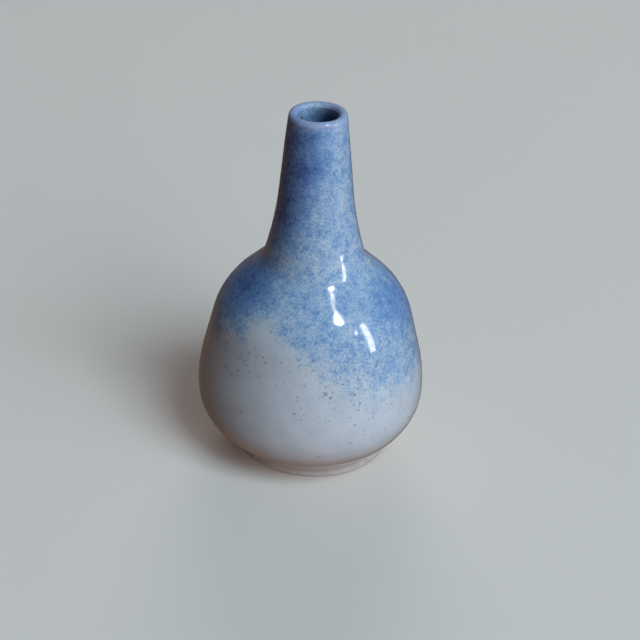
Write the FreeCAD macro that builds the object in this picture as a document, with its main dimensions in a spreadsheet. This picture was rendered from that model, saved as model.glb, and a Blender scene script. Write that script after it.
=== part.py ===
import FreeCAD, Part
import math
import os

import Sketcher
from FreeCAD import Vector

# A small thrown bud vase. Lengths are in mm and angles in degrees.
# Every radius and height is measured on the pot's own axis, before the pot is leant over.
SIZES = {
    "belly_radius": 39.2,        # widest half-width, over the glaze
    "widest_height": 23.1,
    "lower_bend": 19.4,          # radius of the turn below the widest line
    "upper_bend": 56.2,          # radius of the slow curve above it
    "flare_angle": 46.0,         # slope of the wall where it leaves the foot
    "shoulder_offset": 6.4,      # centre of the shoulder curve, from the axis
    "shoulder_height": 43.0,
    "shoulder_round": 28.7,
    "cone_slope": 43.5,          # slope of the straight wall between shoulder and crease
    "crease_round": 12.0,        # hollow where the shoulder turns up into the neck
    "neck_sweep_offset": 141.1,  # centre of the neck's hollow curve, from the axis
    "neck_sweep_height": 110.8,
    "neck_sweep": 129.5,
    "neck_joint": 76.0,          # height of the joint between belly and neck
    "lip_ring": 8.2,             # radius of the circle along the middle of the lip
    "lip_height": 123.6,
    "lip_round": 1.45,
    "wall": 6.0,                 # from the outer glaze surface to the inner one
    "floor_top": 9.0,
    "inner_crease_round": 16.0,
    "bore_sweep": 300.0,         # slight widening of the bore down the neck
    "glaze": 0.5,
    "glaze_stop": 3.3,           # the coat is wiped back to this height above the foot
    "blue_edge": 36.0,           # where the sprayed blue coat takes over from the pale one
    "underside": 3.0,            # height of the belly's flat underside
    "foot_radius": 27.2,
    "foot_width": 5.4,
    "foot_slope": 12.0,          # how far the ring's outer side tips in towards the pot
    "foot_round": 1.5,
    "foot_spare": 0.5,           # clay below the standing plane, ground off to level the foot
    "foot_shift": 0.7,           # the ring sits this far off the pot's axis
    "lean": 0.85,
    "ground_size": 80.0,
    "ground_depth": 5.0,
}
LEAN_AXIS = Vector(0, -1, 0)
ORIGIN = -1
VERTICAL_AXIS = -2
CENTRE = 3


class Size:
    """A length together with the sheet expression that drives it."""

    def __init__(self, value, text):
        self.value = value
        self.text = text

    def __add__(self, other):
        return Size(self.value + other.value, f"({self.text} + {other.text})")

    def __sub__(self, other):
        return Size(self.value - other.value, f"({self.text} - {other.text})")


def size(name):
    return Size(SIZES[name], f"Sizes.{name}")


SURFACE = Size(0.0, "0")


def polar(centre, radius, angle):
    return centre + Vector(radius * math.cos(angle), radius * math.sin(angle), 0)


def bearing(start, end):
    return math.atan2(end.y - start.y, end.x - start.x)


def point_at_height(curve, height, side):
    """The point of a circle at a height, on its right side (+1) or its left side (-1)."""
    rise = height - curve.centre.y
    return Vector(curve.centre.x + side * math.sqrt(curve.radius.value ** 2 - rise ** 2), height, 0)


class Circle:
    """A circle whose centre and radius are all sheet sizes."""

    def __init__(self, across, up, radius):
        self.across = across
        self.up = up
        self.radius = radius
        self.centre = Vector(across.value, up.value, 0)


class Skin:
    """One surface of the pot as a chain of tangent lines and arcs, from the foot to the mouth."""

    def __init__(self, depth, crease_radius, throat, lip=None):
        widest = size("widest_height")
        belly = size("belly_radius")
        self.lower = Circle(belly - size("lower_bend"), widest, size("lower_bend") - depth)
        self.upper = Circle(belly - size("upper_bend"), widest, size("upper_bend") - depth)
        self.shoulder = Circle(
            size("shoulder_offset"), size("shoulder_height"), size("shoulder_round") - depth
        )
        self.crease_radius = crease_radius
        self.throat = throat
        self.lip = lip
        self.find_belly_points()
        self.find_crease_points()
        if lip:
            self.find_lip_points()

    def find_belly_points(self):
        normal = math.radians(SIZES["flare_angle"] - 90)
        self.flare_top = polar(self.lower.centre, self.lower.radius.value, normal)
        self.widest_point = polar(self.lower.centre, self.lower.radius.value, 0)
        span = self.upper.centre.distanceToPoint(self.shoulder.centre)
        shrink = self.upper.radius.value - self.shoulder.radius.value
        slope = bearing(self.upper.centre, self.shoulder.centre) - math.acos(shrink / span)
        self.slope_start = polar(self.upper.centre, self.upper.radius.value, slope)
        self.slope_end = polar(self.shoulder.centre, self.shoulder.radius.value, slope)

    def find_crease_points(self):
        """The crease touches the cone above the shoulder, and the throat's circle from inside."""
        crease = self.crease_radius.value
        slope = math.radians(SIZES["cone_slope"])
        normal = math.pi / 2 - slope
        upwards = Vector(-math.cos(slope), math.sin(slope), 0)
        self.cone_start = polar(self.shoulder.centre, self.shoulder.radius.value, normal)
        level = polar(self.cone_start, crease, normal)
        apart = level - self.throat.centre
        across = apart.dot(upwards)
        shortfall = (self.throat.radius.value - crease) ** 2 - apart.dot(apart)
        self.crease_centre = level + upwards * (math.sqrt(across ** 2 + shortfall) - across)
        self.cone_end = polar(self.crease_centre, -crease, normal)
        outward = bearing(self.throat.centre, self.crease_centre)
        self.crease_end = polar(self.throat.centre, self.throat.radius.value, outward)

    def find_lip_points(self):
        span = self.lip.centre.distanceToPoint(self.throat.centre)
        reach = math.acos((self.throat.radius.value + self.lip.radius.value) / span)
        normal = bearing(self.lip.centre, self.throat.centre) + reach
        self.neck_top = polar(self.throat.centre, -self.throat.radius.value, normal)
        self.lip_start = polar(self.lip.centre, self.lip.radius.value, normal)
        self.lip_end = polar(self.lip.centre, self.lip.radius.value, math.pi)


def outer_skin(depth):
    throat = Circle(size("neck_sweep_offset"), size("neck_sweep_height"), size("neck_sweep") + depth)
    lip = Circle(size("lip_ring"), size("lip_height"), size("lip_round") - depth)
    return Skin(depth, size("crease_round") + depth, throat, lip)


def inner_skin(depth):
    mouth = size("lip_ring") - size("lip_round")
    throat = Circle(mouth + size("bore_sweep"), size("lip_height"), size("bore_sweep") - depth)
    return Skin(size("wall") - depth, size("inner_crease_round") - depth, throat)


class Section:
    """A closed outline on the XZ plane of its own body, held by sheet sizes."""

    def __init__(self, doc, name):
        self.doc = doc
        self.body = doc.addObject("PartDesign::Body", name)
        self.body.Label = name
        self.sketch = self.body.newObject("Sketcher::SketchObject", name + "_section")
        planes = {plane.Role: plane for plane in self.body.Origin.OriginFeatures}
        self.sketch.AttachmentSupport = (planes["XZ_Plane"], "")
        self.sketch.MapMode = "FlatFace"

    def tie(self, kind, *places):
        self.sketch.addConstraint(Sketcher.Constraint(kind, *places))

    def measure(self, kind, *places, length):
        index = self.sketch.addConstraint(Sketcher.Constraint(kind, *places, length.value))
        self.sketch.setExpression(f"Constraints[{index}]", length.text)

    def set_across(self, end, length):
        self.measure("DistanceX", ORIGIN, 1, *end, length=length)

    def set_height(self, end, length):
        self.measure("DistanceY", ORIGIN, 1, *end, length=length)

    def line(self, start, end):
        index = self.sketch.addGeometry(Part.LineSegment(start, end), False)
        return (index, 1), (index, 2)

    def arc(self, centre, start, end):
        """An arc from start to end, the short way round. The sketcher always counts anticlockwise."""
        first = bearing(centre, start)
        turn = (bearing(centre, end) - first) % (2 * math.pi)
        anticlockwise = turn <= math.pi
        if not anticlockwise:
            turn -= 2 * math.pi
        circle = Part.Circle(centre, Vector(0, 0, 1), centre.distanceToPoint(start))
        low, high = sorted((first, first + turn))
        index = self.sketch.addGeometry(Part.ArcOfCircle(circle, low, high), False)
        ends = (index, 1), (index, 2)
        return ends if anticlockwise else ends[::-1]

    def fixed_arc(self, circle, start, end, hold_radius=True):
        first, last = self.arc(circle.centre, start, end)
        self.set_across((first[0], CENTRE), circle.across)
        self.set_height((first[0], CENTRE), circle.up)
        if hold_radius:
            self.measure("Radius", first[0], length=circle.radius)
        return first, last

    def join(self, end, start, kind="Coincident"):
        self.tie(kind, *end, *start)

    def bridge(self, start, end):
        """A straight line between two ends that are already drawn."""
        first, last = self.line(self.sketch.getPoint(*start), self.sketch.getPoint(*end))
        self.join(start, first)
        self.join(last, end)

    def close_on_axis(self, upper, lower):
        """Run both ends level to the axis and join them along it."""
        corners = []
        for end in (upper, lower):
            point = self.sketch.getPoint(*end)
            first, last = self.line(point, Vector(0, point.y, 0))
            self.join(end, first)
            self.tie("Horizontal", first[0])
            self.tie("PointOnObject", *last, VERTICAL_AXIS)
            corners.append(last)
        self.bridge(*corners)

    def flare(self, skin, height):
        """The straight wall up from a height to the turn below the belly."""
        slope = math.radians(SIZES["flare_angle"])
        run = (skin.flare_top.y - height.value) / math.tan(slope)
        start = Vector(skin.flare_top.x - run, height.value, 0)
        first, last = self.line(start, skin.flare_top)
        angle = Size(slope, "Sizes.flare_angle * 1 deg")
        self.measure("Angle", first[0], length=angle)
        self.set_height(first, height)
        return first, last

    def lower_belly(self, skin, height):
        """From a height on the flare to the widest line."""
        bottom, flare_end = self.flare(skin, height)
        first, last = self.fixed_arc(skin.lower, skin.flare_top, skin.widest_point)
        self.join(flare_end, first, "Tangent")
        self.tie("Horizontal", *last, last[0], CENTRE)
        return bottom, last

    def upper_belly(self, skin, below, top):
        """From the widest line up to a point, hung on the end below it."""
        first, last = self.fixed_arc(skin.upper, skin.widest_point, top, hold_radius=False)
        self.join(below, first)
        return last

    def shoulder(self, skin, below):
        """The slope, the shoulder, the cone and the crease, from the top of the upper bend."""
        slope_first, slope_last = self.line(skin.slope_start, skin.slope_end)
        self.join(below, slope_first, "Tangent")
        first, last = self.fixed_arc(skin.shoulder, skin.slope_end, skin.cone_start)
        self.join(slope_last, first, "Tangent")
        cone_first, cone_last = self.line(skin.cone_start, skin.cone_end)
        self.join(last, cone_first, "Tangent")
        angle = Size(math.pi - math.radians(SIZES["cone_slope"]), "180 deg - Sizes.cone_slope * 1 deg")
        self.measure("Angle", cone_first[0], length=angle)
        crease_first, crease_last = self.arc(skin.crease_centre, skin.cone_end, skin.crease_end)
        self.measure("Radius", crease_first[0], length=skin.crease_radius)
        self.join(cone_last, crease_first, "Tangent")
        return crease_last

    def rim(self, skin, below):
        """From the top of the neck's curve over the lip to its inner side."""
        line_first, line_last = self.line(skin.neck_top, skin.lip_start)
        self.join(below, line_first, "Tangent")
        first, last = self.fixed_arc(skin.lip, skin.lip_start, skin.lip_end)
        self.join(line_last, first, "Tangent")
        self.tie("Horizontal", *last, last[0], CENTRE)
        return last

    def whole_belly(self, skin, bottom_height, top_height):
        """From a height on the flare to a height, or to the lip, on the throat."""
        bottom, widest = self.lower_belly(skin, bottom_height)
        bend_end = self.upper_belly(skin, widest, skin.slope_start)
        crease_end = self.shoulder(skin, bend_end)
        top_point = point_at_height(skin.throat, top_height.value, -1)
        first, last = self.fixed_arc(skin.throat, skin.crease_end, top_point)
        self.join(crease_end, first, "Tangent")
        self.set_height(last, top_height)
        return bottom, last

    def revolve(self):
        self.doc.recompute()
        if not self.sketch.FullyConstrained:
            raise RuntimeError(f"{self.sketch.Name} isn't held by its sizes")
        turned = self.body.newObject("PartDesign::Revolution", self.body.Name + "_turned")
        turned.Profile = self.sketch
        turned.ReferenceAxis = (self.sketch, ["V_Axis"])
        turned.Angle = 360
        return self.body


def lean(body, shift="0"):
    """Lean a body over at the pot's widest line, after sliding it out from the axis by a shift."""
    body.Placement = FreeCAD.Placement(Vector(), FreeCAD.Rotation(LEAN_AXIS, SIZES["lean"]))
    angle = "Sizes.lean * 1 deg"
    pivot = "Sizes.widest_height"
    body.setExpression("Placement.Rotation.Angle", angle)
    body.setExpression("Placement.Base.x", f"{pivot} * sin({angle}) + {shift} * cos({angle})")
    body.setExpression("Placement.Base.z", f"{pivot} * (1 - cos({angle})) + {shift} * sin({angle})")
    return body


def make_sheet(doc):
    sheet = doc.addObject("Spreadsheet::Sheet", "Sizes")
    for row, (alias, value) in enumerate(SIZES.items(), start=1):
        sheet.set(f"A{row}", alias)
        sheet.set(f"B{row}", str(value))
        sheet.setAlias(f"B{row}", alias)
    doc.recompute()


def make_belly(doc):
    """The thrown pot: floor, wall and shoulder, up to the joint with the neck."""
    section = Section(doc, "belly")
    outer_bottom, outer_top = section.whole_belly(
        outer_skin(size("glaze")), size("underside"), size("neck_joint")
    )
    inner_bottom, inner_top = section.whole_belly(
        inner_skin(size("glaze")), size("floor_top") - size("glaze"), size("neck_joint")
    )
    section.bridge(outer_top, inner_top)
    section.close_on_axis(inner_bottom, outer_bottom)
    return lean(section.revolve())


def make_neck(doc):
    """The collar luted on at the crease, thrown up into the neck and rolled into the lip."""
    section = Section(doc, "neck")
    joint = SIZES["neck_joint"]
    outside = outer_skin(size("glaze"))
    start = point_at_height(outside.throat, joint, -1)
    outer_bottom, outer_end = section.fixed_arc(outside.throat, start, outside.neck_top)
    section.set_height(outer_bottom, size("neck_joint"))
    lip_end = section.rim(outside, outer_end)
    bore = inner_skin(size("glaze")).throat
    start = point_at_height(bore, joint, -1)
    inner_bottom, inner_top = section.fixed_arc(bore, start, outside.lip_end, hold_radius=False)
    section.set_height(inner_bottom, size("neck_joint"))
    section.join(inner_top, lip_end)
    section.bridge(outer_bottom, inner_bottom)
    return lean(section.revolve())


def make_base_glaze(doc):
    """The pale coat on the lower belly, from the wiped foot up to the blue."""
    section = Section(doc, "base_glaze")
    tops = []
    bottoms = []
    for depth in (SURFACE, size("glaze")):
        skin = outer_skin(depth)
        bottom, widest = section.lower_belly(skin, size("glaze_stop"))
        top_point = point_at_height(skin.upper, SIZES["blue_edge"], 1)
        top = section.upper_belly(skin, widest, top_point)
        section.set_height(top, size("blue_edge"))
        tops.append(top)
        bottoms.append(bottom)
    section.bridge(*tops)
    section.bridge(*bottoms)
    return lean(section.revolve())


def make_blue_glaze(doc):
    """The sprayed blue coat over shoulder and neck, ending inside the lip."""
    section = Section(doc, "blue_glaze")
    tops = []
    bottoms = []
    for depth in (SURFACE, size("glaze")):
        skin = outer_skin(depth)
        start = point_at_height(skin.upper, SIZES["blue_edge"], 1)
        bottom, bend_end = section.fixed_arc(skin.upper, start, skin.slope_start)
        section.set_height(bottom, size("blue_edge"))
        crease_end = section.shoulder(skin, bend_end)
        first, last = section.fixed_arc(skin.throat, skin.crease_end, skin.neck_top)
        section.join(crease_end, first, "Tangent")
        tops.append(section.rim(skin, last))
        bottoms.append(bottom)
    section.bridge(*tops)
    section.bridge(*bottoms)
    return lean(section.revolve())


def make_liner_glaze(doc):
    """The coat poured round the inside, from the floor to the inner side of the lip."""
    section = Section(doc, "liner_glaze")
    glaze = size("glaze")
    clay_bottom, clay_top = section.whole_belly(
        inner_skin(glaze), size("floor_top") - glaze, size("lip_height")
    )
    air_bottom, air_top = section.whole_belly(
        inner_skin(SURFACE), size("floor_top"), size("lip_height")
    )
    section.bridge(clay_top, air_top)
    section.close_on_axis(air_bottom, clay_bottom)
    return lean(section.revolve())


def make_foot_ring(doc):
    """The coil under the pot, its outer edge rounded, ground level where it stands."""
    section = Section(doc, "foot_coil")
    radius = size("foot_radius")
    corner_round = size("foot_round")
    spare = size("foot_spare")
    top = size("underside")
    inner = radius - size("foot_width")
    edge = Circle(radius - corner_round, corner_round - spare, corner_round)
    slope = math.radians(SIZES["foot_slope"])
    base_outer = polar(edge.centre, edge.radius.value, -math.pi / 2)
    side_base = polar(edge.centre, edge.radius.value, slope)
    tip_in = (top.value - side_base.y) * math.tan(slope)
    base_inner = Vector(inner.value, base_outer.y, 0)
    side_top = Vector(side_base.x - tip_in, top.value, 0)
    top_inner = Vector(inner.value, top.value, 0)

    base_first, base_last = section.line(base_inner, base_outer)
    arc_first, arc_last = section.fixed_arc(edge, base_outer, side_base)
    side_first, side_last = section.line(side_base, side_top)
    top_first, top_last = section.line(side_top, top_inner)
    wall_first, wall_last = section.line(top_inner, base_inner)
    section.join(base_last, arc_first, "Tangent")
    section.join(arc_last, side_first, "Tangent")
    section.join(side_last, top_first)
    section.join(top_last, wall_first)
    section.join(wall_last, base_first)
    section.tie("Horizontal", top_first[0])
    section.tie("Horizontal", base_first[0])
    section.tie("Vertical", wall_first[0])
    section.set_height(top_last, top)
    section.set_across(top_last, inner)
    angle = Size(math.pi / 2 + slope, "90 deg + Sizes.foot_slope * 1 deg")
    section.measure("Angle", side_first[0], length=angle)
    coil = lean(section.revolve(), shift="Sizes.foot_shift")

    ground = doc.addObject("Part::Box", "ground")
    ground.setExpression("Length", "Sizes.ground_size")
    ground.setExpression("Width", "Sizes.ground_size")
    ground.setExpression("Height", "Sizes.ground_depth")
    ground.setExpression("Placement.Base.x", "-Sizes.ground_size / 2")
    ground.setExpression("Placement.Base.y", "-Sizes.ground_size / 2")
    ground.setExpression("Placement.Base.z", "-Sizes.ground_depth")
    ring = doc.addObject("Part::Cut", "foot_ring")
    ring.Label = "foot_ring"
    ring.Base = coil
    ring.Tool = ground
    return ring


def check(doc, nodes):
    """Stop if any object failed to compute or any node isn't one sound solid."""
    for item in doc.Objects:
        faults = {"Invalid", "Error"} & set(item.State)
        if faults:
            raise RuntimeError(f"{item.Name}: {sorted(faults)}")
    for node in nodes:
        shape = node.Shape
        if shape.isNull() or not shape.isValid() or len(shape.Solids) != 1:
            raise RuntimeError(f"{node.Label} isn't one valid solid")


doc = FreeCAD.newDocument("bud_vase")
make_sheet(doc)
nodes = [
    make_foot_ring(doc),
    make_belly(doc),
    make_neck(doc),
    make_base_glaze(doc),
    make_blue_glaze(doc),
    make_liner_glaze(doc),
]
doc.recompute()
check(doc, nodes)
os.makedirs("parts", exist_ok=True)
for node in nodes:
    node.Shape.exportStep(f"parts/{node.Label}.step")
    print(node.Label, round(node.Shape.Volume, 1), node.Shape.BoundBox)
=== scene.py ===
import math

import bpy
import numpy as np
from mathutils import Matrix, Vector


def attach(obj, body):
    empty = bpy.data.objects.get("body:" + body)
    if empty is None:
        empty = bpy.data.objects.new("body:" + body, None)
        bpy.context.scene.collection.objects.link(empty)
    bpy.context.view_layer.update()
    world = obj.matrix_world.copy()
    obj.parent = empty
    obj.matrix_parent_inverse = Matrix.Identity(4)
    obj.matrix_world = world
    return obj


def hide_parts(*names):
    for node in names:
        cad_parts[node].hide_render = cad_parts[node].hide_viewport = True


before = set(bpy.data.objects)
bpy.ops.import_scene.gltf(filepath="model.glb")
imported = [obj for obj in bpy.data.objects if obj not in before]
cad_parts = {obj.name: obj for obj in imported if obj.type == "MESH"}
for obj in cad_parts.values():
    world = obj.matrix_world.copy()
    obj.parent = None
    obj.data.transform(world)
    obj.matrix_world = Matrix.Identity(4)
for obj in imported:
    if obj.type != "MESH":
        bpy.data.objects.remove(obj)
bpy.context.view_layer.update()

MM = 0.001
DEGREE = math.pi / 180

# The section of the pot, on its own axis, in mm. A circle is (centre, radius).
WIDEST_RADIUS = 39.2
WIDEST_HEIGHT = 23.1
LOWER_BEND = 19.4
UPPER_BEND = 56.2
FLARE = 46.0 * DEGREE
SHOULDER = ((6.4, 43.0), 28.7)
CONE = 43.5 * DEGREE
CREASE_ROUND = 12.0
NECK_SWEEP = ((141.1, 110.8), 129.5)
NECK_JOINT = 76.0
LIP = ((8.2, 123.6), 1.45)
WALL = 6.0
FLOOR_TOP = 9.0
INNER_CREASE_ROUND = 16.0
BORE_SWEEP = 300.0
GLAZE = 0.5
GLAZE_STOP = 3.3
BLUE_EDGE = 36.0
UNDERSIDE = 3.0
FOOT_RADIUS = 27.2
FOOT_WIDTH = 5.4
FOOT_SHIFT = 0.7         # how far to the right of the pot's axis the foot was turned
SHIFT_FADE = 1.15        # mm below the foot's top over which that shift comes in
LEAN = 0.85 * DEGREE

# The foot's two sides: how far outside the ring's inner or outer radius, and how high.
FOOT_INNER_SIDE = (
    (-0.35, 3.0), (-0.12, 2.75), (0, 2.4), (0, 0.9), (0.02, 0.4), (0.14, 0.12), (0.4, 0), (2.2, 0),
)
FOOT_OUTER_SIDE = (
    (-1.3, 0), (-0.75, 0.04), (-0.35, 0.2), (-0.1, 0.5), (0, 0.95), (-0.06, 1.4), (-0.16, 1.85),
    (-0.2, 2.3), (-0.08, 2.7), (0.12, 3.05), (0.3, 3.45), (-0.6, 3.45), (-1.2, 3.0),
)
FOOT_TOP_MIDDLE = (2.0, 3.0)

AROUND = 288             # columns round every turned piece
ROW_STEP = 0.8           # mm between rows up a wall
ROW_TURN = 9 * DEGREE    # most that a wall turns between rows
AXIS_GAP = 0.01          # radius, in mm, of the first row where a piece crosses the axis
AZIMUTHS = np.arange(AROUND) * 2 * math.pi / AROUND

EDGE_ROUND = 0.6         # how far in from the glaze's lower edge its round goes
BEAD = 0.10              # how far the glaze stands out where it ran and stopped
BEAD_PLACE = 1.3         # from the glaze's lower edge to the middle of the bead
BEAD_WIDTH = 1.1
TURNING_PITCH = 1.7      # mm between the rings that turning left under the pot
TURNING_DEPTH = 0.16
NUB_HEIGHT = 0.5         # of the stub that turning left in the middle
NUB_RADIUS = 2.2
STEADY_RADIUS = 5.0      # the wobble dies away inside this radius
WAVE_REACH = 8.0         # mm below the lip's centre where its rise and fall begins
TRUE_REACH = 9.0         # mm below the lip's centre where the wall's wobble begins to die away


# ---- the section ----

def polar(centre, radius, angle):
    return np.array([centre[0] + radius * math.cos(angle), centre[1] + radius * math.sin(angle)])


def crease_circle(shoulder, throat, radius):
    """The hollow arc that touches the cone above the shoulder, and the throat's circle inside."""
    upwards = np.array([-math.cos(CONE), math.sin(CONE)])
    level = polar(shoulder[0], shoulder[1] + radius, math.pi / 2 - CONE)
    apart = level - throat[0]
    across = apart @ upwards
    shortfall = (throat[1] - radius) ** 2 - apart @ apart
    centre = level + upwards * (math.sqrt(across ** 2 + shortfall) - across)
    return tuple(centre), -radius


def chain(circles, last_normal):
    """Points and outward normals up a chain of tangent arcs, from the flare above the foot.

    A circle's radius is negative where the wall is hollow.
    """
    normals = [FLARE - math.pi / 2]
    for (start, radius), (end, next_radius) in zip(circles, circles[1:]):
        apart = np.subtract(end, start)
        cosine = np.clip((radius - next_radius) / np.hypot(*apart), -1, 1)
        normals.append(math.atan2(apart[1], apart[0]) - math.acos(cosine))
    normals.append(last_normal)
    rows = []
    for (centre, radius), low, high in zip(circles, normals, normals[1:]):
        turn = (high - low + math.pi) % (2 * math.pi) - math.pi
        steps = max(2, math.ceil(abs(turn * radius) / ROW_STEP), math.ceil(abs(turn) / ROW_TURN))
        for angle in np.linspace(low, low + turn, steps + 1):
            rows.append((polar(centre, radius, angle), polar((0, 0), 1, angle)))
    return rows


def with_straights(rows):
    """Add rows along the straight walls, and drop rows that fall on each other."""
    filled = [rows[0]]
    for point, normal in rows[1:]:
        last, last_normal = filled[-1]
        length = np.hypot(*(point - last))
        if length < 1e-4:
            continue
        steps = max(1, round(length / ROW_STEP))
        for share in np.arange(1, steps + 1) / steps:
            between = last_normal * (1 - share) + normal * share
            filled.append((last * (1 - share) + point * share, between / np.hypot(*between)))
    return filled


def skin(depth, crease_round, throat, lip=None):
    """Rows from the flare to the lip or the mouth, for a skin at a depth below the glaze."""
    shoulder = (SHOULDER[0], SHOULDER[1] - depth)
    circles = [
        ((WIDEST_RADIUS - LOWER_BEND, WIDEST_HEIGHT), LOWER_BEND - depth),
        ((WIDEST_RADIUS - UPPER_BEND, WIDEST_HEIGHT), UPPER_BEND - depth),
        shoulder,
        crease_circle(shoulder, throat, crease_round),
        (throat[0], -throat[1]),
    ]
    if lip:
        return chain(circles + [lip], math.pi)
    return chain(circles, 0.0)


def outer_skin():
    return skin(0.0, CREASE_ROUND, NECK_SWEEP, LIP)


def inner_skin():
    mouth = LIP[0][0] - LIP[1]
    throat = ((mouth + BORE_SWEEP, LIP[0][1]), BORE_SWEEP)
    return down_to(FLOOR_TOP, skin(WALL, INNER_CREASE_ROUND, throat))


def down_to(height, rows):
    """Carry the flare straight down from the first row to a height."""
    first, normal = rows[0]
    run = (first[1] - height) / math.tan(FLARE)
    foot = np.array([first[0] - run, height])
    return with_straights([(foot, normal)] + rows)


def cut_at(height, rows):
    """Split rows in two at a height. Both parts hold the row at the cut."""
    for index, ((low, normal), (high, _)) in enumerate(zip(rows, rows[1:])):
        if low[1] < height <= high[1]:
            share = (height - low[1]) / (high[1] - low[1])
            edge = (low * (1 - share) + high * share, normal)
            return rows[:index + 1] + [edge], [edge] + rows[index + 1:]
    raise ValueError("no row crosses that height")


def disc(height, radius, facing):
    """Rows of a level face, from the axis out to a radius. facing is +1 up or -1 down."""
    radii = np.linspace(AXIS_GAP, radius, math.ceil(radius / ROW_STEP) + 1)
    return [(np.array([reach, height]), np.array([0.0, facing])) for reach in radii]


# ---- turned meshes ----

def wobble(azimuth, height):
    """How far the thrower's hand left the wall from true, in mm: slow lobes and faint ridges."""
    lobes = 0.10 * np.sin(2 * azimuth + height / 38 + 0.7) + 0.06 * np.sin(3 * azimuth - height / 23)
    ridges = 0.012 * np.sin(2 * math.pi * height / 4.3 + azimuth)
    dents = 0.02 * np.sin(5 * azimuth + height / 7) * np.sin(height / 5 + 2 * azimuth)
    return (lobes + ridges + dents) * np.clip((LIP[0][1] - height) / TRUE_REACH, 0, 1)


def lip_wave(azimuth, height):
    """How far the rim rises and falls round the mouth, in mm."""
    wave = 0.13 * np.sin(azimuth + 0.4) + 0.07 * np.sin(3 * azimuth + 1.9)
    return wave * np.clip((height - LIP[0][1]) / WAVE_REACH + 1, 0, 1)


def leant(radius, azimuth, height):
    """Points of the leaning pot, in metres, from places round its own axis in mm."""
    across = radius * np.sin(azimuth)
    rise = height - WIDEST_HEIGHT
    x = across * math.cos(LEAN) - rise * math.sin(LEAN)
    z = across * math.sin(LEAN) + rise * math.cos(LEAN) + WIDEST_HEIGHT
    return np.stack([x, -radius * np.cos(azimuth), z], axis=-1) * MM


def grid(rows, proud=0.0):
    """Points of a skin, row by row and round each row, and the outward normals there.

    proud is how far each row stands out from the section, in mm.
    """
    points = np.array([point for point, _ in rows])
    normals = np.array([normal for _, normal in rows])
    azimuth, height = np.meshgrid(AZIMUTHS, points[:, 1])
    steady = np.clip(points[:, :1] / STEADY_RADIUS, 0, 1)
    out = wobble(azimuth, height) * steady + np.broadcast_to(proud, len(rows))[:, None]
    radius = points[:, :1] + normals[:, :1] * out
    height = height + normals[:, 1:] * out + lip_wave(azimuth, height)
    place = leant(radius, azimuth, height)
    up = np.gradient(place, axis=0)
    round_ = np.roll(place, -1, axis=1) - np.roll(place, 1, axis=1)
    facing = np.cross(round_, up)
    return place, facing / np.linalg.norm(facing, axis=-1, keepdims=True)


def rolled(loops, name):
    """A mesh through loops of points, each a row round the pot, closed from the last to the first."""
    count = len(loops)
    verts = np.concatenate(loops)
    faces = []
    for row in range(count):
        here = row * AROUND
        above = (row + 1) % count * AROUND
        for column in range(AROUND):
            after = (column + 1) % AROUND
            faces.append((here + column, here + after, above + after, above + column))
    mesh = bpy.data.meshes.new(name)
    mesh.from_pydata(verts.tolist(), [], faces)
    mesh.shade_smooth()
    piece = bpy.data.objects.new(name, mesh)
    bpy.context.collection.objects.link(piece)
    return piece


def shell(name, outer, inner, facing):
    """A thin closed coat between two grids of points. facing is the outer grid's way out."""
    piece = rolled(list(outer) + list(inner[::-1]), name)
    normals = np.concatenate([facing.reshape(-1, 3), -facing[::-1].reshape(-1, 3)])
    piece.data.normals_split_custom_set_from_vertices(normals.tolist())
    return piece


def make_outer_coats():
    """The pale and the blue coat, cut from one skin so that no step shows between them."""
    below, above = cut_at(BLUE_EDGE, down_to(GLAZE_STOP, outer_skin()))
    rows = below + above[1:]
    seam = len(below) - 1
    heights = np.array([point[1] for point, _ in rows])
    from_end = np.clip((heights - GLAZE_STOP) / math.sin(FLARE), 0, None)
    bead = BEAD * np.exp(-((from_end - BEAD_PLACE) / BEAD_WIDTH) ** 2)
    rounding = GLAZE * (1 - np.sqrt(1 - (1 - np.clip(from_end / EDGE_ROUND, 0, 1)) ** 2))
    front, facing = grid(rows, bead - rounding)
    back, _ = grid(rows, -GLAZE)
    pale = shell("pale_coat", front[:seam + 1], back[:seam + 1], facing[:seam + 1])
    blue = shell("blue_coat", front[seam:], back[seam:], facing[seam:])
    return pale, blue


def make_liner():
    """The coat inside, from the middle of the floor up to the inner side of the lip."""
    wall = inner_skin()
    rows = disc(FLOOR_TOP, wall[0][0][0], -1)[:-1] + wall
    air, _ = grid(rows)
    clay, facing = grid(rows, GLAZE)
    return shell("inside_coat", clay, air, facing)


def make_pot():
    """The thrown clay under the coats. Only its underside shows, with the rings left by turning."""
    outer = down_to(UNDERSIDE, outer_skin())
    outer = cut_at(NECK_JOINT, outer)[0]
    inner = cut_at(NECK_JOINT, inner_skin())[0]
    base = disc(UNDERSIDE, outer[0][0][0] - GLAZE / math.sin(FLARE), -1)
    radii = np.array([point[0] for point, _ in base])
    rings = TURNING_DEPTH * np.sin(2 * math.pi * radii / TURNING_PITCH)
    nub = NUB_HEIGHT * np.exp(-(radii / NUB_RADIUS) ** 2)
    clear_of_foot = np.clip((FOOT_RADIUS - FOOT_WIDTH - 1 - radii) / 2, 0, 1)
    underside, _ = grid(base, (rings - nub) * clear_of_foot)
    outside, _ = grid(outer, -GLAZE)
    inside, _ = grid(disc(FLOOR_TOP, inner[0][0][0], -1)[:-1] + inner, GLAZE)
    return rolled(list(underside) + list(outside[1:]) + list(inside[::-1]), "pot")


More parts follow.
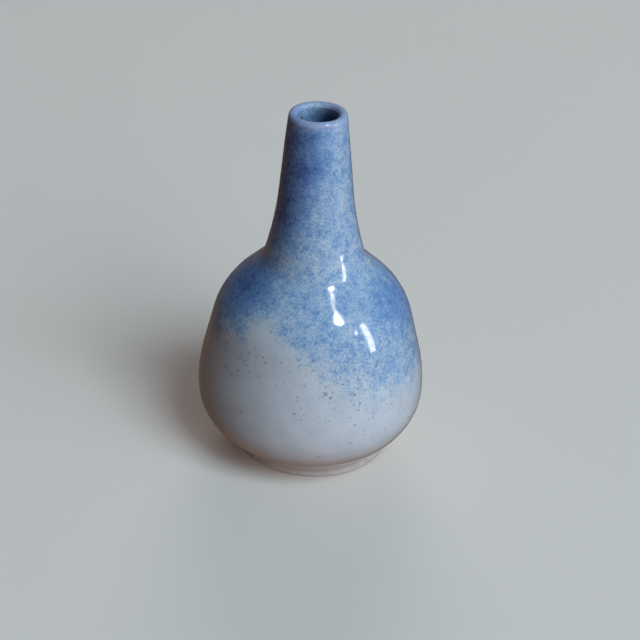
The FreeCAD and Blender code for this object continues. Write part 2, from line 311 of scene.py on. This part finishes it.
def make_foot():
    """The low ring under the pot, ground flat, its outer side swept up into the belly."""
    inner = FOOT_RADIUS - FOOT_WIDTH
    section = [(inner + out, height) for out, height in FOOT_INNER_SIDE]
    section += [(FOOT_RADIUS + out, height) for out, height in FOOT_OUTER_SIDE]
    section.append((inner + FOOT_TOP_MIDDLE[0], FOOT_TOP_MIDDLE[1]))
    section_top = max(height for _, height in section)
    loops = []
    for radius, height in section:
        out = radius + 0.10 * np.sin(2 * AZIMUTHS + 1) + 0.05 * np.sin(5 * AZIMUTHS)
        loop = leant(out, AZIMUTHS, np.full(AROUND, UNDERSIDE))
        loop[:, 0] += FOOT_SHIFT * MM * min(1, (section_top - height) / SHIFT_FADE)
        loop[:, 2] *= height / UNDERSIDE
        loops.append(loop)
    return rolled(loops, "foot")


# ---- materials ----

class Nodes:
    """Short calls for building a material's nodes."""

    def __init__(self, name):
        self.material = bpy.data.materials.new(name)
        self.material.use_nodes = True
        self.tree = self.material.node_tree
        self.shader = self.tree.nodes["Principled BSDF"]
        coordinates = self.tree.nodes.new("ShaderNodeTexCoord")
        scale = self.tree.nodes.new("ShaderNodeVectorMath")
        scale.operation = "SCALE"
        scale.inputs["Scale"].default_value = 1 / MM
        self.tree.links.new(coordinates.outputs["Object"], scale.inputs[0])
        self.place = scale.outputs[0]    # the point on the pot, in mm

    def put(self, socket, value):
        if isinstance(value, bpy.types.NodeSocket):
            self.tree.links.new(value, socket)
        elif value is not None:
            socket.default_value = value

    def set(self, **inputs):
        for name, value in inputs.items():
            self.put(self.shader.inputs[name.replace("_", " ")], value)

    def math(self, operation, first, second=None):
        node = self.tree.nodes.new("ShaderNodeMath")
        node.operation = operation
        self.put(node.inputs[0], first)
        self.put(node.inputs[1], second)
        return node.outputs[0]

    def times(self, first, second):
        return self.math("MULTIPLY", first, second)

    def total(self, *terms):
        result = terms[0]
        for term in terms[1:]:
            result = self.math("ADD", result, term)
        return result

    def ramp(self, value, low, high, to_low=0.0, to_high=1.0):
        """Smoothly from one value to another as the input goes from low to high."""
        node = self.tree.nodes.new("ShaderNodeMapRange")
        node.interpolation_type = "SMOOTHSTEP"
        self.put(node.inputs["Value"], value)
        self.put(node.inputs["From Min"], low)
        self.put(node.inputs["From Max"], high)
        self.put(node.inputs["To Min"], to_low)
        self.put(node.inputs["To Max"], to_high)
        return node.outputs[0]

    def noise(self, size, detail=2.0, roughness=0.5, shift=0.0):
        """Soft noise, 0 to 1, with features of about a size in mm."""
        mapping = self.tree.nodes.new("ShaderNodeMapping")
        mapping.inputs["Location"].default_value = (shift, shift, shift)
        self.put(mapping.inputs["Vector"], self.place)
        node = self.tree.nodes.new("ShaderNodeTexNoise")
        node.inputs["Scale"].default_value = 1 / size
        node.inputs["Detail"].default_value = detail
        node.inputs["Roughness"].default_value = roughness
        self.put(node.inputs["Vector"], mapping.outputs[0])
        return node.outputs["Fac"]

    def ruffled(self, size, reach):
        """The place, pushed about by noise, so that what is drawn there gets an uneven outline."""
        noise = self.tree.nodes.new("ShaderNodeTexNoise")
        noise.inputs["Scale"].default_value = 1 / size
        self.put(noise.inputs["Vector"], self.place)
        push = self.tree.nodes.new("ShaderNodeVectorMath")
        push.operation = "MULTIPLY_ADD"
        self.put(push.inputs[0], noise.outputs["Color"])
        push.inputs[1].default_value = (reach, reach, reach)
        self.put(push.inputs[2], self.place)
        return push.outputs[0]

    def specks(self, spacing, largest, share):
        """1 inside scattered specks. share is the part of the cells, a spacing wide, that hold one."""
        node = self.tree.nodes.new("ShaderNodeTexVoronoi")
        node.inputs["Scale"].default_value = 1 / spacing
        self.put(node.inputs["Vector"], self.ruffled(0.7, 1.2))
        split = self.tree.nodes.new("ShaderNodeSeparateColor")
        self.put(split.inputs[0], node.outputs["Color"])
        held = self.math("LESS_THAN", split.outputs[0], share)
        reach = self.ramp(split.outputs[1], 0, 1, largest * 0.45, largest)
        inner = self.times(reach, 0.6)
        inside = self.ramp(node.outputs["Distance"], inner, reach, 1.0, 0.0)
        return self.times(held, inside)

    def axes(self):
        split = self.tree.nodes.new("ShaderNodeSeparateXYZ")
        self.put(split.inputs[0], self.place)
        return split.outputs

    def distance(self, centre):
        """How far a point is, in mm."""
        node = self.tree.nodes.new("ShaderNodeVectorMath")
        node.operation = "DISTANCE"
        self.put(node.inputs[0], self.place)
        node.inputs[1].default_value = centre
        return node.outputs["Value"]

    def near(self, centre, reach):
        """1 at a point, falling smoothly to 0 at a distance in mm."""
        return self.ramp(self.distance(centre), 0, reach, 1.0, 0.0)

    def mix(self, share, first, second):
        node = self.tree.nodes.new("ShaderNodeMix")
        node.data_type = "RGBA"
        self.put(node.inputs["Factor"], share)
        self.put(node.inputs[6], first)
        self.put(node.inputs[7], second)
        return node.outputs[2]

    def bump(self, height, distance, strength=1.0):
        node = self.tree.nodes.new("ShaderNodeBump")
        node.inputs["Distance"].default_value = distance
        node.inputs["Strength"].default_value = strength
        self.put(node.inputs["Height"], height)
        return node.outputs[0]


PALE = (0.54, 0.545, 0.59, 1)              # the base glaze, and its darker clouds
PALE_SHADE = (0.48, 0.495, 0.545, 1)
MIST = (0.30, 0.41, 0.57, 1)               # the spray over it: thin, full and heaviest
SPRAY = (0.14, 0.25, 0.47, 1)
DEEP = (0.055, 0.10, 0.29, 1)
RIM = (0.40, 0.40, 0.58, 1)                # the spray where it ran thin on the lip
SPECK = (0.12, 0.17, 0.30, 1)
# the liner lower in the mouth: its own blue-grey, partly darkened as painted shade in the bore
LINER_AND_BORE_SHADE = (0.22, 0.30, 0.40, 1)
LINER_AND_BORE_SHADE_DARK = (0.07, 0.13, 0.28, 1)
# colour of the painted shade inside the mouth
MOUTH_SHADE_COLOUR = (0.03, 0.06, 0.13, 1)
CLAY_AND_TABLE_BROWN = (0.44, 0.33, 0.26, 1)              # clay through the thin glaze above the foot, with a painted warm reflection of a wooden table and painted shade in the crease over the foot
CLAY = (0.52, 0.47, 0.47, 1)
CLAY_DARK = (0.43, 0.37, 0.36, 1)
DARK_DOT_COLOUR = (0.10, 0.07, 0.06, 1)
STAGE_COLOUR = (0.84, 0.70, 0.62, 1)       # warm, so that it looks grey in the cool light
STAGE_GLOW_COLOUR = (0.76, 0.78, 0.77, 1)
STAGE_GLOW = 0.40
STAGE_GLOW_REACH = (500, 4500)             # mm from the pot, where the glow begins and is full

# Where the spray fell heavier or lighter: azimuth from the front, height, reach and strength.
PATCHES = {
    "left of the neck": (-56, 107, 23, 0.66),
    "left of the neck, lower": (-60, 89, 17, 0.55),
    "front of the neck": (-12, 110, 8, 0.18),
    "under the rim, left": (-60, 119, 10, 0.35),
    "under the rim": (-18, 120, 6, 0.40),
    "under the rim, right": (6, 121, 5, 0.55),
    "right side of the neck": (98, 100, 17, 0.25),
    # lighter on the neck's right: partly thinner spray, partly a painted reflection of a window
    "thin on the neck, painted sheen": (36, 102, 14, -0.20),
    "left shoulder": (-64, 66, 18, 0.62),
    "left shoulder, far side": (-95, 63, 16, 0.35),
    "left flank": (-72, 52, 12, 0.26),
    "bare crescent": (-33, 57, 9, -0.30),
    "right shoulder": (66, 61, 14, 0.28),
    "right shoulder, far side": (92, 60, 16, 0.26),
    "right flank": (74, 54, 9, 0.15),
    "right flank, lower": (74, 38, 15, 0.12),
    "root of the neck": (8, 79, 10, -0.10),
    "back of the shoulder": (165, 62, 20, 0.34),
    "back of the neck": (150, 100, 16, 0.30),
    "thin at the back": (215, 78, 12, -0.16),
}

SHADE_INSIDE_MOUTH = (3.5, 4.5, 118)       # painted shade on the right of the inside of the mouth, where the light doesn't reach: its centre, in mm
MOUTH_DOT = (-6.8, 4.2, 120.7)      # one small dark dot, just inside the mouth

# Where dark specks of cobalt gather below the spray's edge, in the same terms.
CLUSTERS = {
    "front": (20, 44, 26, 1.00),
    "left": (-30, 50, 16, 0.70),
    "far left": (-48, 46, 14, 0.60),
    "right": (52, 38, 20, 0.50),
    "back": (190, 46, 26, 0.80),
}


def on_skin(azimuth, height):
    """The point of the glazed skin at an azimuth in degrees and a height, in mm."""
    rows = [point for point, _ in outer_skin() if point[1] <= LIP[0][1]]
    radius = np.interp(height, [point[1] for point in rows], [point[0] for point in rows])
    return tuple(leant(radius, np.float64(azimuth * DEGREE), height) / MM)


def scattered(nodes, places, start):
    """A sum of soft round patches on the skin, added to a start value."""
    result = start
    for azimuth, height, reach, strength in places.values():
        near = nodes.near(on_skin(azimuth, height), reach)
        result = nodes.total(result, nodes.times(near, strength))
    return result


def spray_density(nodes):
    """How heavily the blue covers the surface: 0 on the lower belly, more up the pot.

    The spray's edge falls from 58 mm high on the left to 40 mm on the right, and dips again at
    the far left, where it is also sharper.
    """
    across, _, height = nodes.axes()
    edge = nodes.total(nodes.ramp(across, -16, 30, 58, 40), nodes.ramp(across, -36, -16, -8, 0))
    width = nodes.ramp(across, -16, 4, 10, 20)
    clouds = nodes.ramp(nodes.noise(8, 3, 0.6, shift=3), 0.3, 0.7, -3, 3)
    above = nodes.math("SUBTRACT", nodes.total(height, clouds), edge)
    fade = nodes.ramp(nodes.math("DIVIDE", above, width), -0.7, 0.5, 0.0, 0.45)
    return scattered(nodes, PATCHES, fade)


def spray_colour(nodes):
    """Cobalt blown over the pale glaze: mottled where it lies, thinning into specks below."""
    density = spray_density(nodes)
    fine = nodes.ramp(nodes.noise(0.8, 3, 0.65, shift=7), 0.3, 0.7, -0.22, 0.22)
    middling = nodes.ramp(nodes.noise(2.5, 3, 0.6, shift=19), 0.3, 0.7, -0.14, 0.14)
    blotches = nodes.ramp(nodes.noise(4.5, 2, 0.5, shift=29), 0.35, 0.65, -0.08, 0.08)
    strength = nodes.times(nodes.ramp(density, -0.05, 0.2), nodes.ramp(density, 0.5, 1.1, 1.0, 0.6))
    cover = nodes.total(density, nodes.times(nodes.total(fine, middling, blotches), strength))
    pale = nodes.mix(nodes.ramp(nodes.noise(7, 3, 0.6, shift=11), 0.35, 0.7), PALE, PALE_SHADE)
    colour = nodes.mix(nodes.ramp(cover, 0.0, 0.5), pale, MIST)
    colour = nodes.mix(nodes.ramp(cover, 0.35, 0.85), colour, SPRAY)
    colour = nodes.mix(nodes.ramp(cover, 0.8, 1.25), colour, DEEP)
    _, _, height = nodes.axes()
    on_rim = nodes.ramp(height, 122.6, 124.4)
    thin_on_rim = nodes.times(on_rim, nodes.ramp(middling, -0.12, 0.12, 0.15, 0.75))
    colour = nodes.mix(thin_on_rim, colour, RIM)
    share = scattered(nodes, CLUSTERS, 0.06)
    for spacing, largest, darkness in ((3.2, 0.20, 0.6), (2.2, 0.24, 0.65), (1.2, 0.36, 0.5)):
        dots = nodes.specks(spacing, largest, share)
        colour = nodes.mix(nodes.times(dots, darkness), colour, SPECK)
    return colour


def glaze_material():
    nodes = Nodes("sprayed_glaze")
    _, _, height = nodes.axes()
    # painted warm reflection of a wooden table on the lower belly, over clay showing through the thin
    # glaze
    thin = nodes.ramp(height, 4, 22, 0.38, 0.0)
    flow = nodes.noise(1.6)
    nodes.set(
        Base_Color=nodes.mix(thin, spray_colour(nodes), CLAY_AND_TABLE_BROWN),
        Roughness=nodes.ramp(flow, 0.3, 0.7, 0.07, 0.12),
        Normal=nodes.bump(flow, 0.02 * MM, 0.4),
        IOR=1.5,
    )
    return nodes.material


def liner_material():
    """The glaze inside: the spray's own blue at the mouth, a plainer and darker blue-grey further down
    that is partly painted shade in the bore, and painted shade on the right of the mouth's inside.
    """
    nodes = Nodes("inside_glaze")
    _, _, height = nodes.axes()
    mottle = nodes.noise(1.2, 3, 0.65, shift=5)
    plain = nodes.mix(nodes.ramp(mottle, 0.35, 0.7), LINER_AND_BORE_SHADE, LINER_AND_BORE_SHADE_DARK)
    # darker lower in the mouth: partly the liner's colour, partly painted shade in the bore
    glaze = nodes.mix(nodes.ramp(height, 113, 121), plain, spray_colour(nodes))
    # painted shade: the right of the mouth's inside darkened to near black
    glaze = nodes.mix(nodes.times(nodes.near(SHADE_INSIDE_MOUTH, 12), 1.3), glaze, MOUTH_SHADE_COLOUR)
    nodes.set(
        Base_Color=nodes.mix(nodes.near(MOUTH_DOT, 1.0), glaze, DARK_DOT_COLOUR),
        Roughness=0.12,
        Normal=nodes.bump(mottle, 0.02 * MM, 0.4),
    )
    return nodes.material


def clay_material():
    nodes = Nodes("bare_clay")
    _, _, height = nodes.axes()
    mottle = nodes.noise(3.0, 4, 0.6)
    grog = nodes.noise(0.45, 3, 0.7, shift=2)
    colour = nodes.mix(nodes.ramp(mottle, 0.3, 0.7), CLAY_DARK, CLAY)
    # painted shade and warm table reflection in the crease where the foot meets the belly: browner
    # towards the foot's top
    colour = nodes.mix(nodes.ramp(height, 1.6, 3.0, 0.0, 0.6), colour, CLAY_AND_TABLE_BROWN)
    colour = nodes.mix(nodes.times(nodes.specks(1.7, 0.13, 0.25), 0.5), colour, DARK_DOT_COLOUR)
    nodes.set(
        Base_Color=colour,
        Roughness=nodes.ramp(grog, 0.2, 0.8, 0.5, 0.7),
        Normal=nodes.bump(grog, 0.04 * MM, 0.5),
    )
    return nodes.material


def stage_material():
    """Matt and pale. It glows a little far from the pot, where the lights don't reach."""
    nodes = Nodes("pale_stage")
    nodes.set(Base_Color=STAGE_COLOUR, Roughness=1.0, Specular_IOR_Level=0.0)
    glow = nodes.ramp(nodes.distance((0, 0, 0)), *STAGE_GLOW_REACH, 0.0, STAGE_GLOW)
    nodes.set(Emission_Color=STAGE_GLOW_COLOUR, Emission_Strength=glow)
    return nodes.material


def dress(piece, material):
    piece.data.materials.clear()
    piece.data.materials.append(material)


# ---- the scene ----

COOL = (0.57, 0.83, 1.0)            # daylight from the windows
WARM = (1.0, 0.88, 0.82)            # daylight thrown up by a wooden table
SOFT = (0.84, 0.93, 1.0)
WHITE = (1.0, 1.0, 1.0)
FROM_ABOVE = (0.080, 0.080, 0.083, 1)    # dim light from all round, above and below the horizon
FROM_BELOW = (0.125, 0.077, 0.051, 1)
HORIZON_BLUR = 0.15                 # how far above and below it one passes into the other, of 1
LIT_POINT = Vector((0, 0, 0.06))    # what every light is aimed at
SOFT_DISTANCE = 4.0                 # metres to the soft lights
SOFT_SIZE = 2.2
WALL_RADIUS = 6.0                   # metres
WALL_HEIGHT = 8.0
FLOOR_SIZE = 16.0

CAMERA_PLACE = (0, -516.5, 363.355)    # mm
CAMERA_DOWN = 31.490 * DEGREE
CAMERA_YAW = -0.258 * DEGREE
CAMERA_ROLL = 2.831 * DEGREE
LENS = 99.124
SENSOR_WIDTH = 36


def light(name, azimuth, elevation, distance, size, power, colour, shape):
    """A flat light aimed at the pot. Azimuth 0 is the camera's side, and size is (width, height)."""
    lamp = bpy.data.lights.new(name, "AREA")
    lamp.shape = shape
    lamp.size, lamp.size_y = size
    lamp.energy = power
    lamp.color = colour
    holder = bpy.data.objects.new(name, lamp)
    bpy.context.collection.objects.link(holder)
    turn, rise = azimuth * DEGREE, elevation * DEGREE
    back = Vector((math.sin(turn) * math.cos(rise), -math.cos(turn) * math.cos(rise), math.sin(rise)))
    holder.location = LIT_POINT + back * distance
    holder.rotation_mode = "QUATERNION"
    holder.rotation_quaternion = (-back).to_track_quat("-Z", "Y")
    holder.visible_camera = False
    return holder


def soft_light(name, azimuth, elevation, power, colour):
    """A large soft light that the glaze doesn't mirror."""
    size = (SOFT_SIZE, SOFT_SIZE)
    holder = light(name, azimuth, elevation, SOFT_DISTANCE, size, power, colour, "ELLIPSE")
    holder.visible_glossy = False


def mirrored_light(name, azimuth, elevation, distance, size, power, shape="RECTANGLE"):
    """A small light that shows only as a highlight in the glaze."""
    holder = light(name, azimuth, elevation, distance, size, power, WHITE, shape)
    holder.visible_diffuse = False


def make_lights():
    """Soft light, most of it from the right, and the lamp and windows that the glaze mirrors.

    A mirrored light is nearer than the soft ones, since a glossy ray sees only the nearest light.
    """
    soft_light("sky", 44, 50, 106, COOL)
    soft_light("window", 34, 20, 38, SOFT)
    soft_light("side_window", 66, 15, 39, COOL)
    soft_light("front_fill", -5, 10, 5, SOFT)
    soft_light("table_bounce", 45, -30, 38, WARM)
    soft_light("back_fill", 180, 20, 58, SOFT)
    mirrored_light("lamp", 46, 50.5, 1.6, (0.28, 0.32), 5.2, shape="ELLIPSE")
    mirrored_light("lamp_stem", 47, 57, 1.5, (0.06, 0.20), 0.4)
    mirrored_light("window_slit", 69, 14.5, 0.83, (0.11, 0.53), 2.6)
    mirrored_light("window_pane", 57, 27.5, 0.8, (0.05, 0.05), 0.10, shape="ELLIPSE")
    mirrored_light("window_pane_low", 59, 14, 0.8, (0.05, 0.06), 0.06)


def make_surroundings():
    """Dim light from all round: grey from above, and brown from below."""
    world = bpy.data.worlds.new("studio")
    bpy.context.scene.world = world
    world.use_nodes = True
    nodes = world.node_tree.nodes
    links = world.node_tree.links
    direction = nodes.new("ShaderNodeTexCoord")
    split = nodes.new("ShaderNodeSeparateXYZ")
    links.new(direction.outputs["Generated"], split.inputs[0])
    share = nodes.new("ShaderNodeMapRange")
    share.inputs["From Min"].default_value = -HORIZON_BLUR
    share.inputs["From Max"].default_value = HORIZON_BLUR
    links.new(split.outputs["Z"], share.inputs["Value"])
    blend = nodes.new("ShaderNodeMix")
    blend.data_type = "RGBA"
    blend.inputs[6].default_value = FROM_BELOW
    blend.inputs[7].default_value = FROM_ABOVE
    links.new(share.outputs[0], blend.inputs["Factor"])
    links.new(blend.outputs[2], nodes["Background"].inputs["Color"])
    nodes["Background"].inputs["Strength"].default_value = 1.0


def make_stage():
    """A floor and a wall round it. Neither throws light or a reflection on the pot."""
    bpy.ops.mesh.primitive_plane_add(size=FLOOR_SIZE)
    floor = bpy.context.object
    floor.name = "floor"
    bpy.ops.mesh.primitive_cylinder_add(
        vertices=96, radius=WALL_RADIUS, depth=WALL_HEIGHT, end_fill_type="NOTHING",
    )
    wall = bpy.context.object
    wall.name = "wall"
    pale = stage_material()
    for piece in (floor, wall):
        dress(piece, pale)
        piece.visible_diffuse = False
        piece.visible_glossy = False
        piece.visible_shadow = False


def make_camera():
    """From in front and above, with a long lens, turned a little about its own axis."""
    camera = bpy.data.cameras.new("camera")
    camera.sensor_width = SENSOR_WIDTH
    camera.lens = LENS
    camera.clip_end = 50
    holder = bpy.data.objects.new("camera", camera)
    bpy.context.collection.objects.link(holder)
    pitch = Matrix.Rotation(math.pi / 2 - CAMERA_DOWN, 4, "X")
    yaw = Matrix.Rotation(CAMERA_YAW, 4, "Z")
    roll = Matrix.Rotation(CAMERA_ROLL, 4, "Z")
    place = Matrix.Translation(Vector(CAMERA_PLACE) * MM)
    holder.matrix_world = place @ yaw @ pitch @ roll
    bpy.context.scene.camera = holder


def main():
    bare = clay_material()
    glaze = glaze_material()
    pale_coat, blue_coat = make_outer_coats()
    pieces = (
        (pale_coat, glaze, "base_glaze", "pale_glaze"),
        (blue_coat, glaze, "blue_glaze", "blue_glaze"),
        (make_liner(), liner_material(), "liner_glaze", "liner_glaze"),
        (make_pot(), bare, "belly", "bare_stoneware"),
        (make_foot(), bare, "foot_ring", "bare_stoneware"),
    )
    for piece, material, node, slot in pieces:
        dress(piece, material)
        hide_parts(node)
        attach(piece, "root")
    dress(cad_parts["neck"], bare)
    make_stage()
    make_surroundings()
    make_lights()
    make_camera()
    bpy.context.scene.view_settings.view_transform = "Standard"


main()
